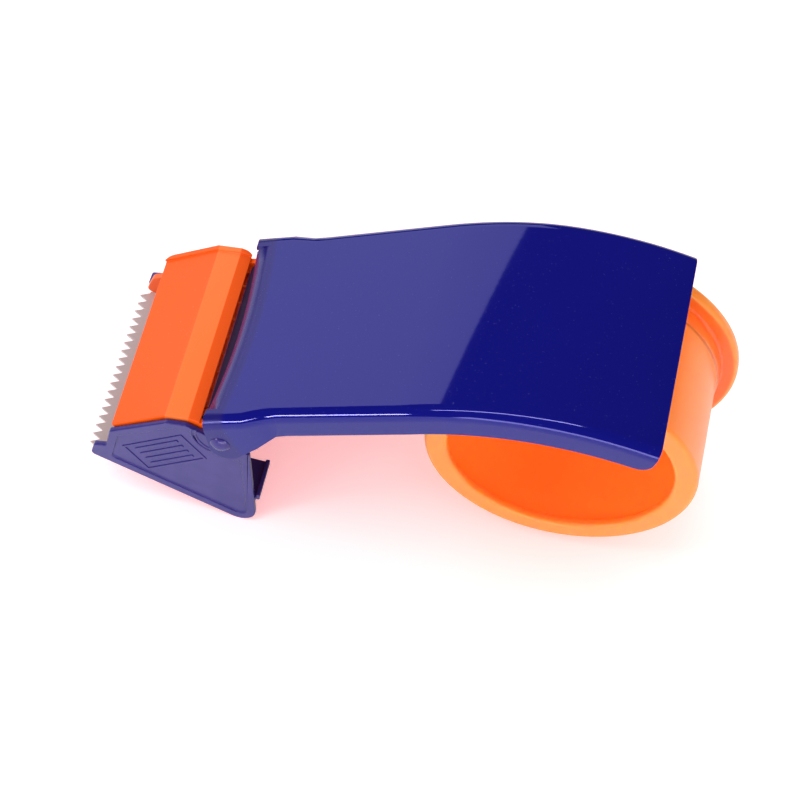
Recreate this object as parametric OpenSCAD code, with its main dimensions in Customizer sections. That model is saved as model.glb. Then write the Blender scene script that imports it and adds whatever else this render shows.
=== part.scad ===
// Hand-held packing tape dispenser for tape wound on a 76 mm core.
// X runs from the cutting edge to the hub, Y across the tape, Z up from the table.

/* [Arm] */
// Width across the arm's side flanges
arm_width = 62; // [54:0.5:70]
// Width across the side flanges over the hump
tail_width = 64; // [54:0.5:72]
// Thickness of the arm's sheet
arm_wall = 1.5; // [1:0.1:1.8]
// Depth of the arm's side flanges
arm_flange = 9; // [7:0.2:12]
// Gap between the resting arm and the hub's flange
arm_gap = 0.7; // [0.4:0.1:2]
// Length of the arm's straight front
arm_straight = 57.3; // [50:0.5:60]
// Radius of the arm's hump over the hub
arm_radius = 100; // [98:1:112]
// Sweep of the arm's hump, in degrees
arm_sweep = 39.6; // [34:0.2:42]
// Radius of the bend between the arm's top and its flanges
arm_bend = 3.4; // [2.6:0.1:4]
// How far the arm's front edge curves in at the middle
arm_hollow = 2.2; // [1.5:0.1:3]
// How far each ear steps out from its flange
ear_step = 1.2; // [0.9:0.1:1.6]
// Radius of the round lug at each ear
ear_lug = 4.6; // [4.4:0.1:5.2]
// Radius of the roll along the arm's front edge
lip_roll = 8; // [6:0.2:10]
// Height of the arm's top face over the pivot, square to its slope
ear_drop = 9.9; // [9.4:0.1:11]

/* [Head] */
// Height of the pivot over the table
pivot_height = 40.6; // [39:0.2:43]
// Thickness of the head's sheet
head_wall = 1.6; // [1.2:0.1:2]
// Width of the raised rim round each cheek
cheek_rim = 2.6; // [1.6:0.1:3.4]
// Depth of each cheek's sunk panel
cheek_sink = 0.5; // [0.3:0.1:0.7]
// Radius of each cheek's flat pad behind the ear
cheek_pad = 8.9; // [7.5:0.1:9.5]
// How much lower the far cheek's top edge is than the near one's
far_cheek_drop = 2.8; // [2.4:0.1:4]
// Thickness of the nose plate
nose_wall = 1.2; // [1:0.1:1.8]
// Thickness of the bridge over the axle
bridge_wall = 1.1; // [0.8:0.1:1.2]
// Length of each rear tab, across the tape
tab_length = 12; // [8:0.5:16]

/* [Pivot] */
// Radius of the pivot axle
axle_radius = 2; // [1.6:0.1:2.4]
// Radius of the axle's domed head
axle_head = 2.8; // [2.6:0.1:3.6]
// Thickness of the washers between the ears and the cheeks
ear_washer = 0.4; // [0.3:0.1:0.6]

/* [Flap] */
// Thickness of the flap's skin
flap_wall = 1.7; // [1.2:0.1:2]
// Gap between the flap and the cheeks
flap_gap = 0.3; // [0.2:0.05:0.5]
// Radius of the flap's bosses round the axle
flap_boss = 4.6; // [4:0.1:5]
// Length of each boss along the axle
flap_boss_length = 3; // [2.4:0.1:4]
// Height of the rim along the flap's far edge
flap_rim = 0.7; // [0.4:0.1:1]

/* [Tape guide] */
// Thickness of the guide's web
guide_wall = 1.4; // [1:0.1:1.8]
// Height of the ribs that keep the tape off the web
rib_height = 0.8; // [0.4:0.1:1.2]
// Distance from rib to rib
rib_pitch = 6; // [4:0.5:9]
// Room under the axle for the tape
tape_room = 4.4; // [4.2:0.1:5]

/* [Blade] */
// Thickness of the blade
blade_wall = 0.7; // [0.5:0.1:1]
// Number of teeth
tooth_count = 19; // [15:1:24]
// Height of each tooth
tooth_height = 2.6; // [1.8:0.1:3.2]
// Width of the blade from the tooth tips to its back edge
blade_depth = 14; // [12:0.5:15]
// Radius of the blade's rivets
rivet_radius = 1.5; // [1.2:0.1:1.8]

/* [Hub] */
// Outer radius of the hub's tube, for a 76 mm core
hub_radius = 37.5; // [36:0.1:37.8]
// Radius of the hub's flange
flange_radius = 42.8; // [41.5:0.1:43]
// Thickness of the flange at its rim
flange_wall = 3.4; // [2.6:0.1:4]
// Length of the hub, with its flange
hub_length = 42.5; // [36:0.5:48]
// Thickness of the hub's tube
hub_wall = 2.9; // [2:0.1:3.5]
// Inner radius of the lip round the hub's open end
hub_mouth = 31; // [28:0.5:33]
// Radius of the hub's central boss
boss_radius = 9; // [7.5:0.1:11]
// Number of ribs inside the hub
hub_ribs = 6; // [4:1:9]
// Radius of the hub's axle
hub_pin = 4; // [3:0.1:5]
// Distance from the pivot to the hub's axle, along the table
hub_reach = 89.7; // [88:0.1:92]

/* [Carrier] */
// Thickness of the strip that carries the hub
carrier_wall = 1.6; // [1.2:0.1:2]
// Radius of the strip's round end behind the hub
carrier_eye = 12; // [10:0.5:14]

/* [Spring] */
// Radius of the spring's wire
wire_radius = 0.35; // [0.25:0.05:0.45]
// Turns in the spring's coil
spring_turns = 4; // [3:1:5]

/* [Hidden] */
$fn = 64;

fit = 0.05;            // running fit, in radius
seat = 0.02;           // radial play of a fixed pin in its hole
arm_half = arm_width / 2;
tail_half = tail_width / 2;
ear_half = arm_half + ear_step;
cheek_out = ear_half - arm_wall - ear_washer - 0.1;
cheek_in = cheek_out - head_wall;

// Side outline of a cheek, from the pivot: the lip, the front edge, the top and the sole.
lip_tip = [-36.4, -24.6];
lip_top = [-35.5, -19.8];
lip_notch = [-32.0, -18.8];
cheek_front = [-31.2, -11.0];
cheek_peak = [-15.7, 0.6];
cheek_crown = [-10.3, 1.6];
cheek_back = [7.8, -5.6];
heel_r = 4.6;
// The heel's corner, set so that its round touches the table.
function heel_at(p, n) =
    let (u = unit(lip_tip - p), v = unit(cheek_back - p), half = acos(u * v) / 2,
         low = p[1] + (unit(u + v) * heel_r / sin(half))[1] - heel_r)
    n == 0 ? p : heel_at([p[0], p[1] - low - pivot_height], n - 1);
cheek_heel = heel_at([12.1, -pivot_height - 2], 4);
collar = 4.4;          // radius of each cheek round the axle
lug_at = [1.6, -1.6];  // centre of an ear's round lug

// Outer line of the flap's skin, from the pivot.
flap_front = [-31.1, -10.0];
flap_peak = [-16.3, 1.5];
flap_crown = [-9.9, 2.7];
flap_back = [-6.7, 2.1];

tooth_tip = -37.6;     // tip of the teeth, from the pivot
nose_top = -25.5;      // top of the nose plate, from the pivot
pivot_x = -(hub_reach + flange_radius + tooth_tip) / 2;
hub_x = pivot_x + hub_reach;
hub_z = flange_radius;
// The arm's slope brings its inner face to arm_gap over the flange.
front_edge = -1.1;
bend_at = [front_edge + arm_straight, ear_drop - arm_radius];
hub_at = [hub_reach, hub_z - pivot_height];
rise = arm_radius - arm_wall - flange_radius - arm_gap;
arm_slope = atan2(hub_at[1], hub_at[0]) - atan2(bend_at[1], bend_at[0])
    - acos((bend_at * bend_at + hub_at * hub_at - rise * rise) / (2 * norm(bend_at) * norm(hub_at)));
hub_back = cheek_in - 0.5;
hub_front = hub_back - hub_length;
carrier_in = cheek_out;
carrier_out = carrier_in + carrier_wall;

function unit(v) = v / norm(v);
function left_of(v) = [-v[1], v[0]];

// Points of a polygon whose corners [x, y, r] are rounded to radius r.
function corner(a, b, c) =
    let (u = unit([a[0] - b[0], a[1] - b[1]]), v = unit([c[0] - b[0], c[1] - b[1]]),
         half = acos(u * v) / 2, run = b[2] / tan(half),
         centre = [b[0], b[1]] + unit(u + v) * b[2] / sin(half),
         p = [b[0], b[1]] + u * run - centre, q = [b[0], b[1]] + v * run - centre,
         a0 = atan2(p[1], p[0]), turn = atan2(q[1], q[0]) - a0,
         sweep = turn > 180 ? turn - 360 : turn < -180 ? turn + 360 : turn,
         n = max(2, ceil(abs(sweep) / 15)))
    b[2] == 0 ? [[b[0], b[1]]]
              : [for (i = [0 : n]) centre + b[2] * [cos(a0 + sweep * i / n), sin(a0 + sweep * i / n)]];
function rounded(pts) =
    [for (i = [0 : len(pts) - 1])
        each corner(pts[(i + len(pts) - 1) % len(pts)], pts[i], pts[(i + 1) % len(pts)])];

// The same corners, moved in by d (for a polygon that runs anticlockwise).
function inset(pts, d) =
    [for (i = [0 : len(pts) - 1])
        let (a = pts[(i + len(pts) - 1) % len(pts)], b = pts[i], c = pts[(i + 1) % len(pts)],
             m = left_of(unit([b[0] - a[0], b[1] - a[1]])),
             n = left_of(unit([c[0] - b[0], c[1] - b[1]])),
             move = (m + n) * d / (1 + m * n))
        [b[0] + move[0], b[1] + move[1], len(b) < 3 ? 1.2 : max(b[2] - d, 1.2)]];

// Points on the left side of an open path, t away from it.
function beside(path, t) =
    [for (i = [0 : len(path) - 1])
        let (m = left_of(unit(path[max(i, 1)] - path[max(i, 1) - 1])),
             n = left_of(unit(path[min(i + 1, len(path) - 1)] - path[min(i, len(path) - 2)])))
        path[i] + (m + n) * t / (1 + m * n)];
function back_to_front(v) = [for (i = [len(v) - 1 : -1 : 0]) v[i]];
function strip(path, t) = concat(path, back_to_front(beside(path, t)));

// Where a line from p touches the circle of radius r round c; side is 1 or -1.
function touch(c, r, p, side) =
    let (d = p - c, a = atan2(d[1], d[0]) + side * acos(r / norm(d)))
    c + r * [cos(a), sin(a)];

// Extrudes a side view (X, Z) across Y, from y0 to y1.
module across(y0, y1) {
    translate([0, y1, 0]) rotate([90, 0, 0]) linear_extrude(y1 - y0) children();
}

module at_pivot() { translate([pivot_x, 0, pivot_height]) children(); }
module at_hub() { translate([hub_x, 0, hub_z]) children(); }
module round_bar(r, y0, y1) { across(y0, y1) circle(r); }

// ---- Arm, in a frame on the pivot with X along its slope ----
joggle_start = 10;
joggle_end = 16.4;
lug = [[cos(arm_slope), sin(arm_slope)] * lug_at, [-sin(arm_slope), cos(arm_slope)] * lug_at];
ear_depth = ear_drop - lug[1] + ear_lug + 1;

// Cross-section of the arm: its top at 0, its flanges down to depth.
function channel_line(width, depth) =
    let (half = width / 2)
    rounded([[-half, -depth, 0], [half, -depth, 0], [half, 0, arm_bend], [-half, 0, arm_bend]]);
function hollow_line(width, depth) =
    let (inner = width / 2 - arm_wall)
    rounded([[-inner, -depth - 1, 0], [inner, -depth - 1, 0],
             [inner, -arm_wall, arm_bend - arm_wall], [-inner, -arm_wall, arm_bend - arm_wall]]);
module channel(width, depth) {
    difference() {
        polygon(channel_line(width, depth));
        polygon(hollow_line(width, depth));
    }
}
module along(start, length) {
    translate([start, 0, ear_drop]) rotate([90, 0, 90]) linear_extrude(length) children();
}

// Side outline of an ear and of its flange, as far as the hump.
module ear_outline() {
    foot = [joggle_end + 0.8, ear_drop - arm_flange];
    turn = front_edge + arm_straight;
    polygon(rounded([
        [each touch(lug, ear_lug - fit, [front_edge, ear_drop], 1), 0], [lug[0], lug[1], 0],
        [each touch(lug, ear_lug - fit, foot, -1), 0], [foot[0], foot[1], 1.5], [turn + 1, foot[1], 0],
        [turn + 1, ear_drop, 0], [front_edge, ear_drop, 0.8]]));
    translate(lug) circle(ear_lug);
}

// Walls that join sections of one kind, each standing at its place along the arm.
module loft(places, sections) {
    n = len(sections[0]);
    last = len(places) - 1;
    polyhedron(
        [for (k = [0 : last]) for (p = sections[k]) [places[k], p[0], p[1]]],
        concat([[for (i = [0 : n - 1]) i], [for (i = [n - 1 : -1 : 0]) i + n * last]],
               [for (k = [0 : last - 1]) for (i = [0 : n - 1])
                   [i + n * k, i + n * k + n, (i + 1) % n + n * k + n, (i + 1) % n + n * k]]));
}
// The channel from the ears to the hump: it narrows at the joggle and widens again behind it.
module arm_front() {
    places = [-joggle_start, joggle_start, joggle_end, joggle_end + 4, front_edge + arm_straight];
    widths = [2 * ear_half, 2 * ear_half, arm_width, arm_width, tail_width];
    side = max(ear_half, tail_half) + 1;
    front_lip();
    difference() {
        intersection() {
            translate([0, 0, ear_drop]) difference() {
                loft(places, [for (w = widths) channel_line(w, ear_depth)]);
                loft(places, [for (w = widths) hollow_line(w, ear_depth)]);
            }
            across(-side, side) ear_outline();
        }
        round_bar(axle_radius + fit, -side, side);
        front_hollow();
    }
}

// The arm's front edge curves in, seen from above, and rolls down along that curve.
hollow_half = arm_half - arm_bend;
bow = (hollow_half * hollow_half + arm_hollow * arm_hollow) / (2 * arm_hollow);
lip_turn = 40;
lip_end = 0.8;         // straight end of the roll
lip_back = lip_roll * sin(lip_turn) + lip_end * cos(lip_turn) - lip_end;
module front_hollow() {
    intersection() {
        translate([front_edge + arm_hollow - bow, 0, ear_drop - arm_bend - 1])
            cylinder(r = bow + lip_back, h = arm_bend + 2, $fn = 360);
        translate([-2 * ear_lug, -hollow_half, 0]) cube([4 * ear_lug, 2 * hollow_half, 2 * ear_drop]);
    }
}
module front_lip() {
    c = [bow + lip_back, ear_drop - lip_roll];
    roll = [for (a = [90 : 5 : 90 + lip_turn]) c + lip_roll * [cos(a), sin(a)]];
    path = concat([c + [1, lip_roll]], roll,
                  [roll[len(roll) - 1] + lip_end * [cos(180 + lip_turn), sin(180 + lip_turn)]]);
    intersection() {
        translate([front_edge + arm_hollow - bow, 0, 0]) rotate_extrude($fn = 360) polygon(strip(path, arm_wall));
        translate([-3 * ear_drop, -hollow_half - 0.1, 0]) cube([6 * ear_drop, 2 * hollow_half + 0.2, 2 * ear_drop]);
    }
}

module arm_hump() {
    turn = front_edge + arm_straight;
    corner_r = 4;
    difference() {
        translate([turn, 0, ear_drop - arm_radius]) rotate([90, 0, 90]) rotate([90, 0, 90])
            rotate_extrude(angle = arm_sweep, $fn = 256)
                translate([arm_radius, 0]) rotate(-90) channel(tail_width, arm_flange);
        // the flanges' lower corners at the open end are round
        translate([turn, 0, ear_drop - arm_radius]) rotate([0, arm_sweep, 0])
            translate([-corner_r, 0, arm_radius - arm_flange])
                across(-tail_half - 1, tail_half + 1)
                    difference() {
                        translate([0, -2]) square([corner_r + 1, corner_r + 2]);
                        translate([0, corner_r]) circle(corner_r);
                    }
    }
}

module arm_cover() {
    color("navy") at_pivot() rotate([0, -arm_slope, 0]) {
        arm_front();
        arm_hump();
    }
}

// ---- Head ----
function cheek_points(drop) = back_to_front([
    [lip_tip[0], lip_tip[1], 1.6], [lip_top[0], lip_top[1], 1], [lip_notch[0], lip_notch[1], 0.8],
    [cheek_front[0], cheek_front[1] - drop, 1], [cheek_peak[0], cheek_peak[1] - drop, 2],
    [cheek_crown[0], cheek_crown[1] - drop, 1.2],
    [cheek_back[0], cheek_back[1], 1], [cheek_heel[0], cheek_heel[1], heel_r]]);

module cheek_outline(drop) {
    difference() {
        union() {
            polygon(rounded(cheek_points(drop)));
            translate([-collar, -8]) square([2 * collar, 8]);
            circle(collar);
            translate([0, -8]) square([bridge_r, 8]);
            intersection() { circle(bridge_r); translate([0, -1]) square(bridge_r + 1); }
        }
        circle(axle_radius + seat);
    }
}
function panel_points(drop) = back_to_front([
    lip_tip + sole * 3.4 + [0, 0.2], [cheek_front[0], cheek_front[1] - drop],
    [cheek_peak[0], cheek_peak[1] - drop], [cheek_crown[0], cheek_crown[1] - drop],
    cheek_back, [cheek_heel[0], cheek_heel[1], heel_r]]);
// The sunk panel, which stops short of the round pad at the axle.
module cheek_panel(drop) {
    difference() {
        polygon(rounded(inset(panel_points(drop), cheek_rim)));
        translate(lug_at) circle(cheek_pad);
    }
}
module cheek(drop) {
    difference() {
        across(cheek_in, cheek_out) cheek_outline(drop);
        across(cheek_out - cheek_sink, cheek_out + 1) cheek_panel(drop);
    }
}

sole = unit(cheek_heel - lip_tip);
sole_start = lip_tip + sole * 18;
// The nose plate: level under the blade, then down to the sole.
nose_path = [sole_start + sole * 14 + left_of(sole) * nose_wall, sole_start + left_of(sole) * nose_wall,
             [-23, nose_top], [-34.6, nose_top]];

module nose_plate() {
    difference() {
        across(-cheek_in - 0.1, cheek_in + 0.1) polygon(strip(nose_path, nose_wall));
        for (s = [-1, 1]) translate([blade_hole_x, s * blade_hole_y, nose_top - 3])
            cylinder(r = rivet_radius + seat, h = 6);
    }
}

// Each rear tab is a shallow tray, folded in from its cheek.
module rear_tab() {
    tray_x = [3.2, 11.8];
    tray_z = -30.6;
    lip = 2.4;
    translate([tray_x[0], cheek_in - tab_length, tray_z])
        cube([tray_x[1] - tray_x[0], tab_length + 0.1, nose_wall]);
    for (x = [tray_x[0], tray_x[1] - nose_wall]) translate([x, cheek_in - tab_length, tray_z])
        cube([nose_wall, tab_length + 0.1, lip]);
}

// A curved bridge joins the cheeks over the axle, clear of the flap's walls.
bridge_r = collar + 1.6;
bridge_half = cheek_in - flap_gap - flap_boss_length - 0.4;
module bridge_arc(start) {
    difference() {
        intersection() {
            circle(bridge_r);
            polygon([[0, 0], 3 * bridge_r * [cos(start), sin(start)],
                     3 * bridge_r * [cos(start / 2 + 34), sin(start / 2 + 34)], 3 * bridge_r * [cos(68), sin(68)]]);
        }
        circle(bridge_r - bridge_wall);
    }
}
module bridge() {
    across(-bridge_half, bridge_half) bridge_arc(176);
    across(-cheek_in - 0.1, cheek_in + 0.1) bridge_arc(114);
}

module head_frame() {
    color("darkslateblue") at_pivot() {
        bridge();
        difference() {
            cheek(far_cheek_drop);
            for (p = carrier_holes) translate([p[0], 0, p[1]])
                round_bar(rivet_radius + seat, cheek_in - 1, cheek_out + 1);
        }
        mirror([0, 1, 0]) cheek(0);
        nose_plate();
        rear_tab();
        mirror([0, 1, 0]) rear_tab();
    }
}

// ---- Pivot ----
clip_wall = 0.8;
module dome(r, h) {
    big = (r * r + h * h) / (2 * h);
    rotate([90, 0, 0]) intersection() {
        translate([0, 0, h - big]) sphere(big);
        cylinder(r = r, h = h);
    }
}
module pivot_axle() {
    color("silver") at_pivot() difference() {
        union() {
            round_bar(axle_radius, -ear_half - 0.2, ear_half + 1.3);
            translate([0, -ear_half - 0.1, 0]) dome(axle_head, 1.2);
        }
        clip_groove(axle_radius, ear_half + 0.1);
    }
}
module clip_groove(r, y) {
    across(y, y + clip_wall + 0.05) difference() { circle(r + 1); circle(r - 0.5); }
}
// A snap ring with a mouth, as stamped from sheet.
module clip(r, reach, y) {
    across(y, y + clip_wall) difference() {
        circle(reach);
        circle(r - 0.5 + seat);
        translate([0, -reach]) square([1.4 * (r - 0.5), 2 * reach], center = true);
        for (a = [30, 150]) rotate(a) translate([reach, 0]) circle(reach * 0.28);
    }
}
module axle_clip() {
    color("dimgray") at_pivot() clip(axle_radius, axle_radius * 2, ear_half + 0.12);
}
module ear_washers() {
    color("whitesmoke") at_pivot() for (s = [-1, 1])
        across(min(s * cheek_out, s * (cheek_out + ear_washer)), max(s * cheek_out, s * (cheek_out + ear_washer)))
            difference() { circle(axle_radius + 1.1); circle(axle_radius + seat); }
}

// ---- Flap ----
flap_line = [flap_front, flap_peak, flap_crown, flap_back];
flap_near = -(cheek_in - flap_gap);
flap_far = cheek_in + 0.9;
wall_far = cheek_in - flap_gap;

// One side wall, from under the skin to its boss.
module flap_wall_outline() {
    under = beside(flap_line, -flap_wall / 2);
    polygon([flap_front + [1.2, -1.6], under[1], under[2], under[3], [-3.4, 2.6], [0, 0], [-3, -3.4],
             [-13, -4.6], [-27, -12.2]]);
    circle(flap_boss);
}
// The skin, with the far corners rounded in plan and a rim along the far edge.
module flap_skin() {
    intersection() {
        union() {
            across(flap_near, flap_far) polygon(strip(flap_line, -flap_wall));
            across(flap_far - 1.5, flap_far) polygon(strip(flap_line, flap_rim));
        }
        translate([0, 0, -flap_reach]) linear_extrude(2 * flap_reach) polygon(rounded([
            [-flap_reach, flap_near - 1, 0], [0, flap_near - 1, 0], [flap_back[0] + 0.6, flap_far - 4, 0],
            [flap_back[0] + 0.6, flap_far, 2.6], [flap_front[0] - 0.6, flap_far, 2.4],
            [flap_front[0] - 0.6, flap_far - 4, 0], [-flap_reach, flap_far - 4, 0]]));
    }
}
flap_reach = 40;
module flap() {
    color("darkorange") at_pivot() difference() {
        union() {
            flap_skin();
            for (y = [flap_near, wall_far - flap_wall]) across(y, y + flap_wall) flap_wall_outline();
            round_bar(flap_boss, flap_near, flap_near + flap_boss_length);
            round_bar(flap_boss, wall_far - flap_boss_length, wall_far);
            // ledge under the spring's long leg
            translate([-13, flap_near, -3.4]) cube([3, flap_boss_length + 3.4, 1.8]);
            // the bead that holds the tape down
            across(flap_near + flap_wall, wall_far - flap_wall)
                translate(flap_front + [1.6, -1.5]) circle(1.1);
        }
        round_bar(axle_radius + fit, flap_near - 1, flap_far + 1);
    }
}

// ---- Spring on the axle, beside the flap's near boss ----
spring_r = axle_radius + 0.5 + wire_radius;
coil_pitch = 2 * wire_radius + 0.12;
spring_y = flap_near + flap_boss_length + 0.3 + wire_radius;
steps = 14;
function coil_at(a) = [spring_r * cos(a), spring_y + coil_pitch * a / 360, spring_r * sin(a)];
spring_start = 200;
spring_end = spring_start + 360 * spring_turns + 100;
spring_path = concat(
    [[-12.2, spring_y + 0.6, -1.2], [-8, spring_y + 0.3, -1.2]],
    [for (i = [0 : ceil((spring_end - spring_start) / 360 * steps)])
        coil_at(spring_start + i * 360 / steps) - [0, coil_pitch * spring_start / 360, 0]],
    [[4.6, spring_y + coil_pitch * (spring_turns + 0.6), -axle_radius - tape_room + rib_height + wire_radius + 0.68]]);

// A round wire along a list of points.
module wire(path, r, sides = 8) {
    n = len(path);
    function dir(i) = unit(path[min(i + 1, n - 1)] - path[max(i - 1, 0)]);
    function side_of(i) = unit(cross(dir(i), [0, 1, 0.001]));
    ring = [for (i = [0 : n - 1], k = [0 : sides - 1])
        let (u = side_of(i), v = cross(dir(i), u), a = 360 * k / sides)
        path[i] + r * (cos(a) * u + sin(a) * v)];
    faces = concat(
        [[for (k = [0 : sides - 1]) k]],
        [for (i = [0 : n - 2], k = [0 : sides - 1]) let (a = i * sides + k, b = i * sides + (k + 1) % sides)
            [a, a + sides, b + sides, b]],
        [[for (k = [sides - 1 : -1 : 0]) (n - 1) * sides + k]]);
    polyhedron(ring, faces);
}
module flap_spring() {
    color("gray") at_pivot() wire(spring_path, wire_radius);
}

// ---- Tape guide ----
guide_top = -axle_radius - tape_room;
guide_line = [[7.4, guide_top], [-7.5, guide_top], [-23.4, nose_top + blade_wall + 3.4]];
guide_half = cheek_in;
module tape_guide() {
    color("orangered") at_pivot() {
        across(-guide_half, guide_half) polygon(strip(guide_line, guide_wall));
        ribs = floor((guide_half - 4) / rib_pitch);
        for (k = [-ribs : ribs]) across(k * rib_pitch - 0.5, k * rib_pitch + 0.5)
            polygon(strip(beside(guide_line, -rib_height), rib_height + 0.2));
        // the toe rests on the nose plate behind the blade
        guide_toe();
        guide_claw();
    }
}
module guide_toe() {
    toe_x = guide_line[2][0];
    across(-guide_half, guide_half)
        polygon([[toe_x + 0.2, nose_top], [toe_x + 0.2, guide_line[2][1]],
                 [toe_x - guide_wall - 0.6, guide_line[2][1]], [toe_x - guide_wall - 0.6, nose_top]]);
}
// The far end of the guide runs forward to a claw at the cutting edge.
claw_line = [[-24.5, nose_top, 0], [-22.6, -19, 0], [-30.4, -15.4, 1.6], [-34.6, -18.4, 2.6],
             [-36.2, -24.2, 1.6], [-33.4, nose_top, 0.6]];
module guide_claw() {
    across(guide_half - 1.8, guide_half) {
        polygon(rounded(claw_line));
    }
}

// ---- Blade ----
blade_hole_x = -28.6;
blade_hole_y = 20;
blade_ends = [0.7 - cheek_in, cheek_in - 1.9];
module blade_outline() {
    back = tooth_tip + blade_depth - 2.6;
    root = tooth_tip + tooth_height;
    start = blade_ends[0];
    pitch = (blade_ends[1] - start - 0.6) / tooth_count;
    polygon(concat([[back, start], [root, start]],
        [for (i = [0 : tooth_count - 1], e = [0, 1])
            e == 0 ? [root, start + i * pitch] : [tooth_tip, start + (i + 0.5) * pitch]],
        [[root, start + tooth_count * pitch], [root, blade_ends[1]], [back, blade_ends[1]]]));
}
module cutter_blade() {
    color("gainsboro") at_pivot() translate([0, 0, nose_top]) linear_extrude(blade_wall) difference() {
        blade_outline();
        for (s = [-1, 1]) translate([blade_hole_x, s * blade_hole_y]) circle(rivet_radius + seat);
    }
}
// A round-head rivet through plates of a given thickness, its axis along Z.
module rivet(r, plates) {
    head = 0.9;
    cylinder(r = r, h = plates);
    for (m = [0, 1]) mirror([0, 0, m]) translate([0, 0, m == 0 ? plates : 0])
        rotate([-90, 0, 0]) dome(r * 1.8, head);
}
module blade_rivets() {
    color("silver") at_pivot() for (s = [-1, 1])
        translate([blade_hole_x, s * blade_hole_y, nose_top - nose_wall]) rivet(rivet_radius, nose_wall + blade_wall);
}

// ---- Hub ----
flange_front = hub_back - flange_wall;
boss_front = hub_front + 20;
boss_back = carrier_in - 1;
hub_side = [               // half section of the tube and flange: [radius, y]
    [hub_mouth, hub_front, 1.2], [hub_radius, hub_front, 1.6], [hub_radius, flange_front - 5, 0],
    [hub_radius + 0.5, flange_front - 4.4, 0], [hub_radius + 0.5, flange_front, 1],
    [flange_radius, flange_front, 1.3], [flange_radius, hub_back, 1.3],
    [hub_radius - hub_wall, hub_back, 0.6], [hub_radius - hub_wall, hub_front + 3, 0.8],
    [hub_mouth, hub_front + 3, 1.2]];
module hub() {
    web = 2.4;
    web_y = flange_front - web;
    bore = hub_radius - hub_wall;
    color("orange") at_hub() {
        difference() {
            rotate([90, 0, 0]) mirror([0, 0, 1]) rotate_extrude($fn = 128) union() {
                polygon(rounded(hub_side));
                translate([boss_radius - 1, web_y]) square([bore - boss_radius + 1.5, web]);
                translate([hub_pin + fit, boss_front]) square([boss_radius - hub_pin - fit, boss_back - boss_front]);
            }
        }
        for (k = [0 : hub_ribs - 1]) rotate([0, 360 * k / hub_ribs, 0])
            across(web_y - 7, web_y + 0.1) translate([boss_radius - 0.5, -0.8])
                square([bore - boss_radius + 0.8, 1.6]);
    }
}
washer_wall = 0.8;
hub_clip_y = boss_front - 0.1 - washer_wall - 0.1 - clip_wall;
module hub_axle() {
    color("silver") at_hub() difference() {
        union() {
            round_bar(hub_pin, hub_clip_y - 1.2, carrier_in);
            round_bar(hub_pin - 1, carrier_in - 0.1, carrier_out);
            translate([0, carrier_out, 0]) mirror([0, 1, 0]) dome(hub_pin + 1, 1.2);
        }
        clip_groove(hub_pin, hub_clip_y);
    }
}
module hub_thrust_washer() {
    color("whitesmoke") at_hub() across(carrier_in - washer_wall - 0.1, carrier_in - 0.1)
        difference() { circle(boss_radius); circle(hub_pin + seat); }
}
module hub_washer() {
    color("silver") at_hub() across(boss_front - 0.1 - washer_wall, boss_front - 0.1)
        difference() { circle(boss_radius - 1); circle(hub_pin + seat); }
}
module hub_clip() {
    color("dimgray") at_hub() clip(hub_pin, hub_pin * 1.7, hub_clip_y + 0.02);
}

// ---- Carrier strip, riveted to the outside of the far cheek ----
carrier_holes = [[-12, -25], [2, -17]];
carrier_waist = [[24, -15], [24, -31]];
carrier_line = [
    [-24, -20, 4], [-14, -9.6, 5], [4, -9.6, 10], [each carrier_waist[0], 14],
    [each touch(hub_at, carrier_eye - 0.05, carrier_waist[0], -1), 0],
    [hub_at[0] + carrier_eye * 0.6, hub_at[1] + carrier_eye / 2, 0],
    [hub_at[0] + carrier_eye * 0.6, hub_at[1] - carrier_eye / 2, 0],
    [each touch(hub_at, carrier_eye - 0.05, carrier_waist[1], 1), 0],
    [each carrier_waist[1], 14], [-10, -31, 5]];
module hub_carrier() {
    color("slategray") at_pivot() difference() {
        union() {
            across(carrier_in, carrier_out) polygon(rounded(carrier_line));
            translate([hub_at[0], 0, hub_at[1]]) round_bar(carrier_eye, carrier_in, carrier_out);
        }
        for (p = carrier_holes) translate([p[0], 0, p[1]])
            round_bar(rivet_radius + seat, carrier_in - 1, carrier_out + 1);
        translate([hub_at[0], 0, hub_at[1]]) round_bar(hub_pin - 1 + seat, carrier_in - 1, carrier_out + 1);
    }
}
module carrier_rivets() {
    color("silver") at_pivot() for (p = carrier_holes) translate([p[0], cheek_in, p[1]])
        rotate([-90, 0, 0]) rivet(rivet_radius, head_wall + carrier_wall);
}

arm_cover();
head_frame();
pivot_axle();
axle_clip();
ear_washers();
flap();
flap_spring();
tape_guide();
cutter_blade();
blade_rivets();
hub();
hub_axle();
hub_thrust_washer();
hub_washer();
hub_clip();
hub_carrier();
carrier_rivets();
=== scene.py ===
# Hand-held packing tape dispenser: soft edges, fine relief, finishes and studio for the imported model.
import math

import bmesh
import bpy
from mathutils import Matrix, Vector


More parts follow.
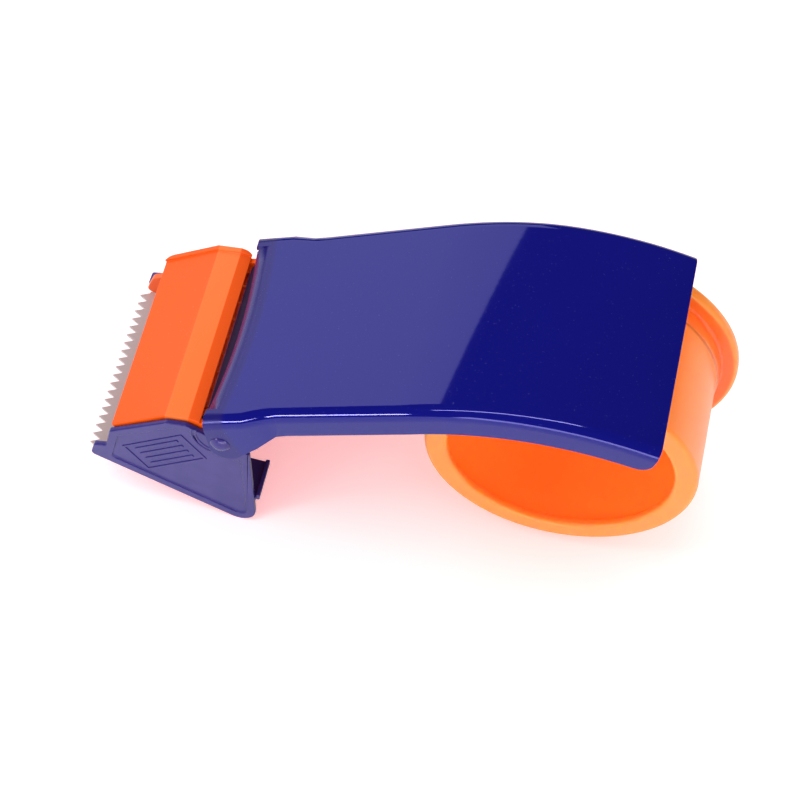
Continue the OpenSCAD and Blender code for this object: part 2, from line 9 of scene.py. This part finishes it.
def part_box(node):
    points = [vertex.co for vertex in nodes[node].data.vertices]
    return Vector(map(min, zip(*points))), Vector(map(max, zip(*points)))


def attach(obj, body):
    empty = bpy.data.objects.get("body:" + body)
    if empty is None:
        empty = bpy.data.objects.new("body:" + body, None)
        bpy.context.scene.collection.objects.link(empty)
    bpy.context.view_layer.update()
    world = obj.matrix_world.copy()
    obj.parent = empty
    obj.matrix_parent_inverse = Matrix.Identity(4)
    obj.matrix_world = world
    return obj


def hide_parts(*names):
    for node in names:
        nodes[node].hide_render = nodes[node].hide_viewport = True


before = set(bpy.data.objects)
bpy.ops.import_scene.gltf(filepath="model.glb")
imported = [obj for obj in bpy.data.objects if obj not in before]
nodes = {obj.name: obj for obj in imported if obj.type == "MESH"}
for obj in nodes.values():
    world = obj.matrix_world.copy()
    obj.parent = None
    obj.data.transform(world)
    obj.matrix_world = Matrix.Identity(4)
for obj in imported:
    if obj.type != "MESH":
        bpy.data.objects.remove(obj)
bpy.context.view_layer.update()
pieces = {}  # the scene's own pieces: copies go by their node's name, marks by a name of their own

pivot = (Vector(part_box("pivot_axle")[0]) + Vector(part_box("pivot_axle")[1])) / 2
pivot.y = 0
armSlope = math.radians(28.26)
alongArm = Vector((math.cos(armSlope), 0, math.sin(armSlope)))


class Wire:  # a node's output, on which sums and masks are written as in Python
    def __init__(self, tree, socket):
        self.tree, self.socket = tree, socket

    def maths(self, operation, other=None):
        return self.tree.node("Math", {"operation": operation}, {0: self, 1: other})

    def __add__(self, other):
        return self.maths("ADD", other)

    __radd__ = __add__

    def __mul__(self, other):
        return self.maths("MULTIPLY", other)

    __rmul__ = __mul__

    def __sub__(self, other):
        return self.maths("SUBTRACT", other)

    def __rsub__(self, other):
        return (self * -1) + other

    def clamped(self):
        return self.maths("MINIMUM", 1).maths("MAXIMUM", 0)

    def above(self, level, soft):  # 0 below the level, 1 above it, and a ramp as wide as soft
        return ((self - level) * (1 / soft) + 0.5).clamped()


class Tree:  # a node tree that starts empty
    def __init__(self, nodeTree):
        self.nodeTree = nodeTree
        self.nodeTree.nodes.clear()

    def node(self, kind, settings=None, values=None, output=0):
        node = self.nodeTree.nodes.new("ShaderNode" + kind)
        for key, value in (settings or {}).items():
            setattr(node, key, value)
        for key, value in (values or {}).items():
            self.feed(node.inputs[key], value)
        return Wire(self, node.outputs[output]) if node.outputs else None

    def feed(self, socket, value):
        if isinstance(value, Wire):
            self.nodeTree.links.new(value.socket, socket)
        elif value is not None:
            socket.default_value = (*value, 1) if socket.type == "RGBA" else value


class Finish(Tree):  # a material with one Principled shader
    def __init__(self, name):
        self.material = bpy.data.materials.new(name)
        self.material.use_nodes = True
        super().__init__(self.material.node_tree)
        shaded = self.node("BsdfPrincipled")
        self.shader = shaded.socket.node
        self.node("OutputMaterial", values={"Surface": shaded})

    def set(self, values):
        for name, value in values.items():
            self.feed(self.shader.inputs[name], value)

    def place(self):
        return self.node("TexCoord", output="Object")

    def axis(self, letter):
        return self.node("SeparateXYZ", values={"Vector": self.place()}, output=letter)

    def noise(self, size, detail=2, rough=0.5, stretch=None):
        where = self.place()
        if stretch:
            where = self.node("Mapping", values={"Vector": where, "Scale": stretch})
        return self.node("TexNoise", values={"Vector": where, "Scale": 1 / size, "Detail": detail,
                                             "Roughness": rough})

    def mix(self, mask, low, high):  # sockets 6 and 7 are the Mix node's two colours
        return self.node("Mix", {"data_type": "RGBA"}, {0: mask, 6: low, 7: high}, output=2)

    def bump(self, height, depth, strength):
        raised = self.node("Bump", values={"Height": height, "Distance": depth, "Strength": strength})
        self.set({"Normal": raised})


def giveFinish(finish, *names):
    for name in names:
        slots = (pieces.get(name) or nodes[name]).data.materials
        slots.clear()
        slots.append(finish.material)


# lengths in metres and angles in degrees, here and in all that follows
common = {"merge": 0.000002, "flat": 0.4, "sharp": 32, "smooth": 35, "bevelSteps": 2, "evenness": 100}


def only(piece):  # this piece alone is selected, and it is active
    bpy.ops.object.select_all(action="DESELECT")
    piece.select_set(True)
    bpy.context.view_layer.objects.active = piece


def shape(piece, change):  # runs a change in edit mode, with all of the piece selected
    only(piece)
    bpy.ops.object.mode_set(mode="EDIT")
    bpy.ops.mesh.select_all(action="SELECT")
    change()
    bpy.ops.object.mode_set(mode="OBJECT")


def joinParts(parts, name):
    only(parts[0])
    for part in parts:
        part.select_set(True)
    bpy.ops.object.join()
    parts[0].name = name
    return parts[0]


def addBevel(piece, width, sharp):
    bevel = piece.modifiers.new("softEdge", "BEVEL")
    bevel.width, bevel.segments = width, common["bevelSteps"]
    bevel.limit_method, bevel.angle_limit = "ANGLE", math.radians(sharp)
    return bevel


def finishShape(piece, smooth=common["smooth"]):  # applies the modifiers and evens the shading
    only(piece)
    for modifier in list(piece.modifiers):
        bpy.ops.object.modifier_apply(modifier=modifier.name)
    bpy.ops.object.shade_smooth_by_angle(angle=math.radians(smooth))
    even = piece.modifiers.new("evenShading", "WEIGHTED_NORMAL")
    even.mode, even.weight, even.keep_sharp = "FACE_AREA", common["evenness"], True
    bpy.ops.object.modifier_apply(modifier=even.name)


# On the arm only the edges behind one place are softened, and the far rear corner stands out.
softEdges = {
    "arm_cover": {"name": "armSheet", "body": "arm", "slot": "arm_paint", "edge": 0.00030, "behind": 0.018,
                  "pull": {"rear": 0.090, "far": 0.029, "move": 0.0013, "reach": 0.045}},
    "head_frame": {"name": "headSheet", "body": "head", "slot": "head_paint", "edge": 0.00028},
    "flap": {"name": "flapSkin", "body": "flap", "slot": "flap_orange", "edge": 0.00020,
             "sharp": 16, "smooth": 14},
    "hub": {"name": "hubTube", "body": "hub", "slot": "hub_orange", "edge": 0.00050},
    "tape_guide": {"name": "guidePlate", "body": "head", "slot": "guide_orange", "edge": 0.00018},
    "hub_carrier": {"name": "carrierStrip", "body": "head", "slot": "head_paint", "edge": 0.00030}}


def markEdges(piece, start):  # a bevel weight on each sharp edge that lies past start along the arm
    work = bmesh.new()
    work.from_mesh(piece.data)
    weight = work.edges.layers.float.new("bevel_weight_edge")
    for edge in work.edges:
        nearest = min((v.co - pivot).dot(alongArm) for v in edge.verts)
        isSharp = edge.calc_face_angle(0) > math.radians(common["sharp"])
        edge[weight] = 1.0 if nearest > start and isSharp else 0.0
    work.to_mesh(piece.data)
    work.free()


def pullCorner(piece, plan):  # moves one corner outwards, and what lies within reach of it less
    only(piece)
    bpy.ops.object.mode_set(mode="EDIT")
    bpy.ops.mesh.select_all(action="DESELECT")
    bpy.ops.object.mode_set(mode="OBJECT")
    for vertex in piece.data.vertices:
        isRear = (vertex.co - pivot).dot(alongArm) > plan["rear"]
        vertex.select = isRear and vertex.co.y > plan["far"]
    print(sum(v.select for v in piece.data.vertices), "points at the far rear corner")
    bpy.ops.object.mode_set(mode="EDIT")
    bpy.ops.mesh.select_mode(type="VERT")
    bpy.ops.transform.translate(value=(0, plan["move"], 0), use_proportional_edit=True,
                                proportional_edit_falloff="SMOOTH", proportional_size=plan["reach"])
    bpy.ops.object.mode_set(mode="OBJECT")


def copyNode(node, plan):
    piece = bpy.data.objects.new(plan["name"], nodes[node].data.copy())
    bpy.context.collection.objects.link(piece)

    def mergeFaces():
        bpy.ops.mesh.remove_doubles(threshold=common["merge"])
        bpy.ops.mesh.dissolve_limited(angle_limit=math.radians(common["flat"]))

    shape(piece, mergeFaces)
    if "pull" in plan:
        pullCorner(piece, plan["pull"])
    bevel = addBevel(piece, plan["edge"], plan.get("sharp", common["sharp"]))
    bevel.use_clamp_overlap = False
    if "behind" in plan:
        markEdges(piece, plan["behind"])
        bevel.limit_method = "WEIGHT"
    finishShape(piece, plan.get("smooth", common["smooth"]))
    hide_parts(node)
    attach(piece, plan["body"])
    return piece


for node, plan in softEdges.items():
    pieces[node] = copyNode(node, plan)
    print(plan["name"], len(pieces[node].data.polygons), "faces")
print("softened edges done")

# a raised border with plain ribs in it, on the near cheek
cheekPanel = {"centre": (-0.01565, -0.0154), "size": (0.021, 0.012), "turn": 39.2, "face": -0.02966,
              "border": 0.00065, "height": 0.00028, "ribs": 4, "rib": (0.0150, 0.0009), "pitch": 0.0024,
              "edge": 0.00012, "sharp": 40}


def makeCheekPanel():
    plan = cheekPanel
    turn = math.radians(plan["turn"])
    middle = pivot + Vector((plan["centre"][0], 0, plan["centre"][1]))
    middle.y = plan["face"]
    across = Vector((-math.sin(turn), 0, math.cos(turn)))
    parts = []

    def addPlate(at, size, border):
        bpy.ops.object.select_all(action="DESELECT")
        # turned about X to face outwards, then about Y to lie along the panel
        bpy.ops.mesh.primitive_plane_add(size=1, location=at, rotation=(math.radians(90), -turn, 0))
        plate = bpy.context.object
        plate.scale = (*size, 1)
        bpy.ops.object.transform_apply(location=True, rotation=True, scale=True)

        def raisePlate():
            if border:
                bpy.ops.mesh.inset(thickness=border, depth=0)
                bpy.ops.mesh.delete(type="ONLY_FACE")
                bpy.ops.mesh.select_all(action="SELECT")
            bpy.ops.mesh.extrude_region_move(TRANSFORM_OT_translate={"value": (0, -plan["height"], 0)})
            bpy.ops.mesh.select_all(action="SELECT")
            bpy.ops.mesh.normals_make_consistent(inside=False)

        shape(plate, raisePlate)
        parts.append(plate)

    addPlate(middle, plan["size"], plan["border"])
    for row in range(plan["ribs"]):
        addPlate(middle + across * plan["pitch"] * (row - (plan["ribs"] - 1) / 2), plan["rib"], 0)
    panel = joinParts(parts, "cheekPanel")
    addBevel(panel, plan["edge"], plan["sharp"])
    finishShape(panel)
    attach(panel, "head")
    return panel


# two raised beads round the axle on each cheek; near and far give where they start and how far they go
earArc = {"radii": (0.0086, 0.0074), "near": (172, 78), "far": (202, 48), "face": 0.03012,
          "bead": 0.00075, "height": 0.00034, "sides": 12, "steps": 32}


def makeEarArcs():
    plan = earArc
    arcs = []

    def addBead(side, radius, first, turn):
        start = math.radians(first)
        at = pivot + Vector((math.cos(start), 0, math.sin(start))) * radius
        at.y = side * plan["face"]
        bpy.ops.object.select_all(action="DESELECT")
        bpy.ops.mesh.primitive_circle_add(vertices=plan["sides"], radius=plan["bead"] / 2, location=at,
                                          rotation=(0, -start, 0), fill_type="NGON")
        arc = bpy.context.object
        arc.scale = (1, plan["height"] * 2 / plan["bead"], 1)
        bpy.ops.object.transform_apply(location=True, rotation=True, scale=True)

        def sweep():
            bpy.ops.mesh.spin(steps=plan["steps"], angle=math.radians(turn), axis=(0, 1, 0),
                              center=(pivot.x, side * plan["face"], pivot.z))
            bpy.ops.mesh.select_all(action="SELECT")
            bpy.ops.mesh.remove_doubles(threshold=common["merge"])
            bpy.ops.mesh.normals_make_consistent(inside=False)

        shape(arc, sweep)
        arcs.append(arc)

    for side, sweepRange in ((-1, plan["near"]), (1, plan["far"])):
        for radius in plan["radii"]:
            addBead(side, radius, *sweepRange)
    joined = joinParts(arcs, "cheekArcs")
    finishShape(joined)
    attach(joined, "head")
    return joined


pieces["panel"] = makeCheekPanel()
pieces["arcs"] = makeEarArcs()
print("cheek marks done")

# the front edge, which starts behind a curve across the arm, is rougher and is painted darker and purpler:
# painted shade for the dimmer reflection of the rolled lip
armPaint = {
    "deep": (0.0030, 0.0035, 0.140), "light": (0.0050, 0.0055, 0.175), "tint": (0.46, 0.44, 1.0),
    "gloss": 0.03, "index": 1.75, "patches": {"size": 0.05, "rough": 0.03},
    "dust": {"size": 0.0006, "from": 0.71, "soft": 0.02, "share": 0.35, "rough": 0.2,
             "colour": (0.05, 0.05, 0.24)},
    "rolledShade": {"start": 0.0011, "end": 0.0062, "bow": 0.174, "soft": 0.0012, "share": 0.7, "rough": 0.22,
               "colour": (0.012, 0.006, 0.110)},
    "peel": {"size": 0.005, "depth": 0.00003, "strength": 0.12}}


def makeArmPaint():
    f = Finish("armPaint")
    patches, dust, rolledShade, peel = (armPaint[part] for part in ("patches", "dust", "rolledShade", "peel"))
    broad = f.noise(patches["size"])
    specks = f.noise(dust["size"]).above(dust["from"], dust["soft"])
    x, y, z = (f.axis(letter) for letter in "XYZ")
    behindEdge = ((x - pivot.x) * alongArm.x + (z - pivot.z) * alongArm.z - rolledShade["start"]
                  + y * y * (0.5 / rolledShade["bow"]))
    # front is where the rolled lip's painted shade goes
    front = 1 - behindEdge.above(rolledShade["end"], rolledShade["soft"])
    paint = f.mix(broad, armPaint["deep"], armPaint["light"])
    dusty = f.mix(specks * dust["share"], paint, dust["colour"])
    f.set({"Base Color": f.mix(front * rolledShade["share"], dusty, rolledShade["colour"]),
           "Roughness": (broad * patches["rough"] + specks * dust["rough"] + front * rolledShade["rough"]
                         + armPaint["gloss"]),
           "Specular Tint": armPaint["tint"], "IOR": armPaint["index"]})
    f.bump(f.noise(peel["size"]), peel["depth"], peel["strength"])
    return f


# over the axle, the strip between the cheeks is painted near-black as painted shade, and its paint there is
# rougher and has no coat
headPaint = {
    "deep": (0.030, 0.022, 0.165), "worn": (0.042, 0.030, 0.190), "tint": (0.78, 0.66, 1.0), "gloss": 0.20,
    "coat": 0.25, "coatRough": 0.12, "patches": {"size": 0.012, "from": 0.56, "soft": 0.25},
    "grain": {"size": 0.0009, "rough": 0.08, "depth": 0.00004, "strength": 0.35},
    "bridge": {"half": 0.0282, "sideSoft": 0.0002, "above": 0.0020, "footSoft": 0.0004, "rough": 0.4,
               "colour": (0.0010, 0.0008, 0.030)}}


def makeHeadPaint():
    f = Finish("headPaint")
    patches, grain, bridge = (headPaint[part] for part in ("patches", "grain", "bridge"))
    fine = f.noise(grain["size"], detail=3, rough=0.6)
    worn = f.noise(patches["size"], detail=3, rough=0.6).above(patches["from"], patches["soft"])
    between = 1 - f.axis("Y").maths("ABSOLUTE").above(bridge["half"], bridge["sideSoft"])
    inside = between * f.axis("Z").above(pivot.z + bridge["above"], bridge["footSoft"])
    paint = f.mix(worn, headPaint["deep"], headPaint["worn"])
    # the strip over the axle gets its painted shade colour here
    f.set({"Base Color": f.mix(inside, paint, bridge["colour"]),
           "Roughness": fine * grain["rough"] + inside * bridge["rough"] + headPaint["gloss"],
           "Specular Tint": headPaint["tint"],
           "Coat Weight": (1 - inside) * headPaint["coat"], "Coat Roughness": headPaint["coatRough"]})
    f.bump(fine, grain["depth"], grain["strength"])
    return f


plastic = {"patchSize": 0.03, "shade": 0.94, "coat": 0.2, "coatRough": 0.2,
           "depthByColour": (1.0, 0.25, 0.05), "lightDepth": 0.012,
           "grain": {"size": 0.0006, "rough": 0.08, "depth": 0.00002, "strength": 0.4}}


def makePlastic(name, colour, rough, through=0.0):
    f = Finish(name)
    grain = plastic["grain"]
    fine = f.noise(grain["size"], detail=3, rough=0.6)
    f.plain = f.mix(f.noise(plastic["patchSize"]), colour, tuple(c * plastic["shade"] for c in colour))
    f.set({"Base Color": f.plain, "Roughness": fine * grain["rough"] + rough,
           "Coat Weight": plastic["coat"], "Coat Roughness": plastic["coatRough"],
           "Subsurface Weight": through, "Subsurface Radius": plastic["depthByColour"],
           "Subsurface Scale": plastic["lightDepth"]})
    f.bump(fine, grain["depth"], grain["strength"])
    return f


guidePlastic = {"colour": (0.93, 0.12, 0.012), "rough": 0.34}

# the narrow facet over the crown, between two creases, is painted paler: a painted sheen for the reflection
# that facet catches
flapPlastic = {"colour": (0.95, 0.100, 0.003), "rough": 0.22, "specular": 0.35,
               "crownSheen": (0.95, 0.170, 0.030), "creases": (-0.0163, -0.0099), "soft": 0.0003}


def makeFlapPlastic():
    plan = flapPlastic
    f = makePlastic("flapOrange", plan["colour"], plan["rough"])
    x = f.axis("X")
    first, last = (pivot.x + crease for crease in plan["creases"])
    # the mask for the painted sheen on the crown facet
    crownSheen = x.above(first, plan["soft"]) * (1 - x.above(last, plan["soft"]))
    f.set({"Base Color": f.mix(crownSheen, f.plain, plan["crownSheen"]), "Coat Weight": 0.0,
           "Specular IOR Level": plan["specular"]})
    return f


# The bore has a painted glow, an emission standing in for light that comes through the wall; the flange's
# inner face is painted deeper in colour as painted shade.
hubPlastic = {"colour": (1.0, 0.29, 0.045), "rough": 0.30, "through": 1.0,
              "bore": {"radius": 0.0350, "soft": 0.0004, "from": 0.0030, "fade": 0.003,
                       "glow": (0.30, 0.040, 0.003)},
              "flange": {"from": 0.0379, "fromSoft": 0.0004, "to": 0.0416, "toSoft": 0.0008,
                         "rim": 0.0012, "rimSoft": 0.0008, "share": 0.8, "colour": (0.96, 0.15, 0.012)}}


def makeHubPlastic():
    bore, flange = hubPlastic["bore"], hubPlastic["flange"]
    f = makePlastic("hubOrange", hubPlastic["colour"], hubPlastic["rough"], hubPlastic["through"])
    near, far = (corner[1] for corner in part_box("hub"))
    axle = [(low + high) / 2 for low, high in zip(*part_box("hub_axle"))]
    across, depth, height = f.axis("X") - axle[0], f.axis("Y"), f.axis("Z") - axle[2]
    reach = (across * across + height * height).maths("SQRT")
    # inside is where the bore's painted glow goes
    inside = (1 - reach.above(bore["radius"], bore["soft"])) * depth.above(near + bore["from"], bore["fade"])
    ring = reach.above(flange["from"], flange["fromSoft"]) * (1 - reach.above(flange["to"], flange["toSoft"]))
    # the flange's inner face is painted deeper in colour: painted shade
    innerFace = ring * (1 - depth.above(far - flange["rim"], flange["rimSoft"]))
    f.set({"Base Color": f.mix(innerFace * flange["share"], f.plain, flange["colour"]),
           "Emission Color": f.mix(inside, (0, 0, 0), bore["glow"]), "Emission Strength": 1.0})
    return f


# stretch draws the grain out along an axis
# the blade's pinkish grey is painted reflection of the orange parts around it
steels = {"bladeSteel": {"colour": (0.70, 0.58, 0.58), "rough": 0.28, "metal": 0.35, "stretch": (1, 12, 1)},
          "brightSteel": {"colour": (0.66, 0.66, 0.68), "rough": 0.25, "metal": 1.0, "stretch": (1, 1, 1)},
          "darkSteel": {"colour": (0.20, 0.20, 0.21), "rough": 0.35, "metal": 1.0, "stretch": (1, 1, 1)}}
steelGrain = {"size": 0.0008, "shade": 0.86, "rough": 0.14, "depth": 0.00001, "strength": 0.5}


def makeSteel(name):
    plan, grain = steels[name], steelGrain
    f = Finish(name)
    streaks = f.noise(grain["size"], detail=4, rough=0.6, stretch=plan["stretch"])
    shaded = tuple(c * grain["shade"] for c in plan["colour"])
    f.set({"Base Color": f.mix(streaks, plan["colour"], shaded), "Metallic": plan["metal"],
           "Roughness": streaks * grain["rough"] + plan["rough"]})
    f.bump(streaks, grain["depth"], grain["strength"])
    return f


nylon = {"size": 0.001, "pale": (0.80, 0.79, 0.76), "deep": (0.74, 0.73, 0.70), "rough": 0.45}


def makeNylon():
    f = Finish("washerNylon")
    f.set({"Base Color": f.mix(f.noise(nylon["size"]), nylon["pale"], nylon["deep"]),
           "Roughness": nylon["rough"]})
    return f


giveFinish(makeArmPaint(), "arm_cover")
giveFinish(makeHeadPaint(), "head_frame", "hub_carrier", "pivot_axle", "panel", "arcs")
giveFinish(makeFlapPlastic(), "flap")
giveFinish(makeHubPlastic(), "hub")
giveFinish(makePlastic("guideOrange", guidePlastic["colour"], guidePlastic["rough"]), "tape_guide")
giveFinish(makeSteel("bladeSteel"), "cutter_blade")
giveFinish(makeSteel("brightSteel"), "blade_rivets", "hub_axle", "hub_washer", "carrier_rivets")
giveFinish(makeSteel("darkSteel"), "axle_clip", "flap_spring", "hub_clip")
giveFinish(makeNylon(), "ear_washers", "hub_thrust_washer")
print("finishes done")

# glow is the pink level that the camera sees on the paper, over the light that falls on it
paper = {"width": 12, "colour": (0.93, 0.925, 0.925), "shade": 0.985, "size": 0.4, "rough": 0.7,
         "glow": (0.66, 0.24, 0.25)}


def makeFloor():
    bpy.ops.object.select_all(action="DESELECT")
    bpy.ops.mesh.primitive_plane_add(size=paper["width"], location=(0, 0, 0))
    floor = bpy.context.object
    floor.name = "floor"
    f = Finish("floorPaper")
    shaded = tuple(c * paper["shade"] for c in paper["colour"])
    isCamera = f.node("LightPath", output="Is Camera Ray")
    f.set({"Base Color": f.mix(f.noise(paper["size"]), paper["colour"], shaded), "Roughness": paper["rough"],
           "Emission Color": f.mix(isCamera, (0, 0, 0), paper["glow"]), "Emission Strength": 1.0})
    floor.data.materials.append(f.material)


surroundings = {"colour": (1, 1, 1), "level": 0.85, "reflected": 0.05}  # the camera sees plain white


def makeWorld():
    world = bpy.data.worlds.new("studio")
    bpy.context.scene.world = world
    world.use_nodes = True
    tree = Tree(world.node_tree)
    isCamera = tree.node("LightPath", output="Is Camera Ray")
    isGlossy = tree.node("LightPath", output="Is Glossy Ray")
    unseen = isGlossy * surroundings["reflected"] + (1 - isGlossy) * surroundings["level"]
    sky = tree.node("Background", values={"Color": surroundings["colour"],
                                          "Strength": isCamera + (1 - isCamera) * unseen})
    tree.node("OutputWorld", values={"Surface": sky})


# aim is what a lamp faces, roll its turn about that line, drop its shift in its own plane, and level its
# brightness in a reflection
lamps = {
    "left": {"place": (-0.571, 0.546, 0.502), "aim": (0, 0, 0.07), "roll": -23.65, "drop": 0.0675,
             "size": (0.9, 0.455), "level": 1.3},
    "front": {"place": (-0.788, -0.863, 0.34), "aim": (0, 0, 0.04), "roll": 0, "drop": 0,
              "size": (0.3, 0.1), "level": 24.0},
    "fill": {"place": (0.25, -1.3, 0.22), "aim": (0.08, 0, 0.04), "roll": 0, "drop": 0,
             "size": (1.4, 0.3), "level": 5.0},
    "strip": {"place": (-0.66, -0.48, 1.5), "aim": (-0.66, -0.48, 0), "roll": 30, "drop": 0,
              "size": (1.7, 0.12), "level": 12.0}}


def makeLamps():
    for name, plan in lamps.items():
        lamp = bpy.data.lights.new(name, "AREA")
        lamp.shape = "RECTANGLE"
        lamp.size, lamp.size_y = plan["size"]
        lamp.energy = plan["level"] * math.pi * plan["size"][0] * plan["size"][1]
        holder = bpy.data.objects.new(name, lamp)
        bpy.context.collection.objects.link(holder)
        line = Vector(plan["aim"]) - Vector(plan["place"])
        holder.matrix_world = (Matrix.Translation(plan["place"])
                               @ line.to_track_quat("-Z", "Y").to_matrix().to_4x4()
                               @ Matrix.Rotation(math.radians(plan["roll"]), 4, "Z")
                               @ Matrix.Translation((0, -plan["drop"], 0)))


# along and down give the level line of sight; the camera then turns to its aim without rolling
cameraPlan = {"place": (0.01105, -0.3497, 0.5835), "along": (-0.2875, 0.958), "down": 52.08,
              "aim": (-0.004, -0.002, 0.036), "lens": 106, "sensor": 36, "nearest": 0.01}


def makeCamera():
    plan = cameraPlan
    down = math.radians(plan["down"])
    flat = Vector((*plan["along"], 0)).normalized()
    first = flat * math.cos(down) - Vector((0, 0, math.sin(down)))
    look = (Vector(plan["aim"]) - Vector(plan["place"])).normalized()
    right = first.rotation_difference(look) @ Vector((flat.y, -flat.x, 0))
    turn = Matrix((right, right.cross(look), -look)).transposed().to_4x4()
    camera = bpy.data.objects.new("camera", bpy.data.cameras.new("camera"))
    bpy.context.collection.objects.link(camera)
    camera.matrix_world = Matrix.Translation(plan["place"]) @ turn
    camera.data.lens, camera.data.sensor_width = plan["lens"], plan["sensor"]
    camera.data.clip_start = plan["nearest"]
    bpy.context.scene.camera = camera


makeFloor()
makeWorld()
makeLamps()
makeCamera()
bpy.context.scene.view_settings.view_transform = "Standard"
print("studio done")
